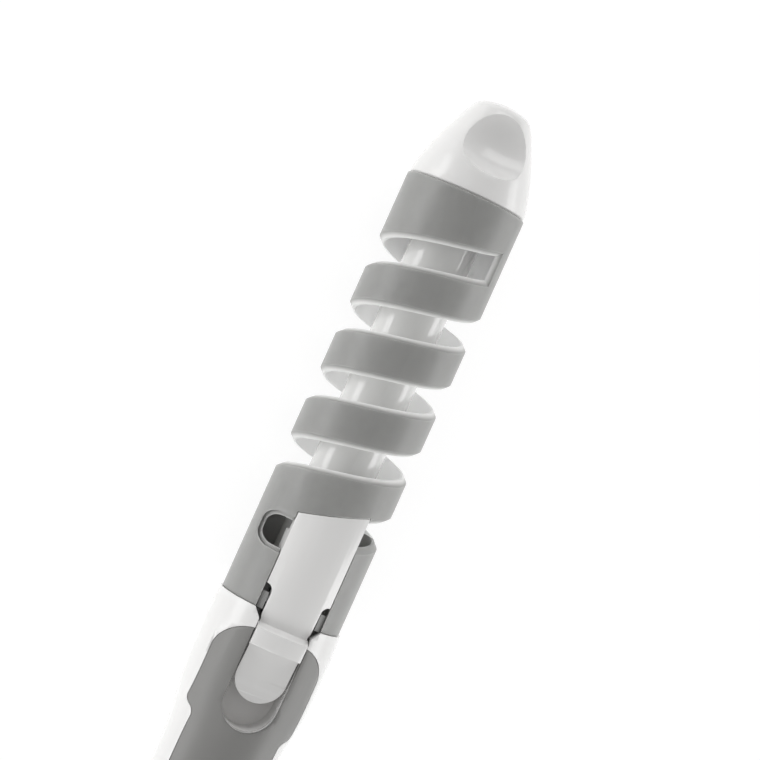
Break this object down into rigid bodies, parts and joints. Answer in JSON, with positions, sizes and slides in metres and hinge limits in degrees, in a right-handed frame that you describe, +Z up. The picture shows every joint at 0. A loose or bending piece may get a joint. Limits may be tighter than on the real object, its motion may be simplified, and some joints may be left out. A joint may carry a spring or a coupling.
{
  "type": "spiral hair-curling iron",
  "caption": "Hair-curling iron: a heated barrel inside a spiral guard, with a sprung clip lever and a round handle.",
  "frame": {"origin": "centre of the bounding box's base, below the middle of the tool as it lies on its back", "axes": "+X along the tool to the cool tip, +Z up out of the clip lever, +Y across the lever"},
  "size_m": [0.335, 0.038, 0.0378],
  "materials": {
    "grey_plastic": "satin, slightly translucent grey",
    "light_grey_plastic": "satin light grey",
    "white_plastic": "glossy white",
    "white_ceramic": "aluminium with a glossy white ceramic coat",
    "dark_plastic": "heat-resistant dark plastic",
    "ceramic_element": null,
    "amber_film": "amber insulating film",
    "bare_aluminium": "extruded aluminium",
    "plated_metal": "plated metal case",
    "lead_sleeve": "white silicone sleeve",
    "steel": "zinc-plated steel",
    "board_green": "glass-fibre circuit board",
    "red_lens": "tinted clear lens",
    "brass_contact": "brass contact"
  },
  "bodies": {
    "iron": {"spiral_guard": "grey_plastic", "tip_cap": "white_plastic", "heater_barrel": "white_ceramic", "barrel_end_plug": "dark_plastic", "ptc_heater": "ceramic_element", "heater_insulation": "amber_film", "heater_clamp_front": "bare_aluminium", "heater_clamp_rear": "bare_aluminium", "thermal_fuse": "plated_metal", "heater_leads": "lead_sleeve", "barrel_holder": "dark_plastic", "barrel_screw": "steel", "clip_pivot_pin": "steel", "clip_spring": "steel", "lever_tray": "light_grey_plastic", "handle_shell_front": "white_plastic", "handle_shell_rear": "white_plastic", "front_panel": "grey_plastic", "handle_screws": "steel", "circuit_board": "board_green", "board_screws": "steel", "slide_switch": "dark_plastic", "indicator_led": "red_lens", "led_lens": "red_lens", "supply_leads": "lead_sleeve", "contact_block": "dark_plastic", "contact_leaves": "brass_contact"},
    "clip": {"clip_lever": "white_plastic", "clamp_plate": "white_ceramic"},
    "slider": {"power_slider": "white_plastic"},
    "swivel": {"cord_swivel": "white_plastic", "swivel_contacts": "brass_contact"}
  },
  "joints": [
    {"name": "clip_hinge", "type": "hinge", "parent": "iron", "child": "clip", "pos_m": [0.0135, 0, 0.0306], "axis": [0, -1, 0], "range_deg": [0, 12], "stiffness_Nm_per_rad": 0.4, "springref_deg": -22.92, "deforming": ["clip_spring"]},
    {"name": "power_slide", "type": "slide", "parent": "iron", "child": "slider", "axis": [-1, 0, 0], "range_m": [0, 0.004]},
    {"name": "cord_swivel_turn", "type": "hinge", "parent": "iron", "child": "swivel", "pos_m": [-0.1545, 0, 0.018], "axis": [1, 0, 0], "continuous": true}
  ]
}
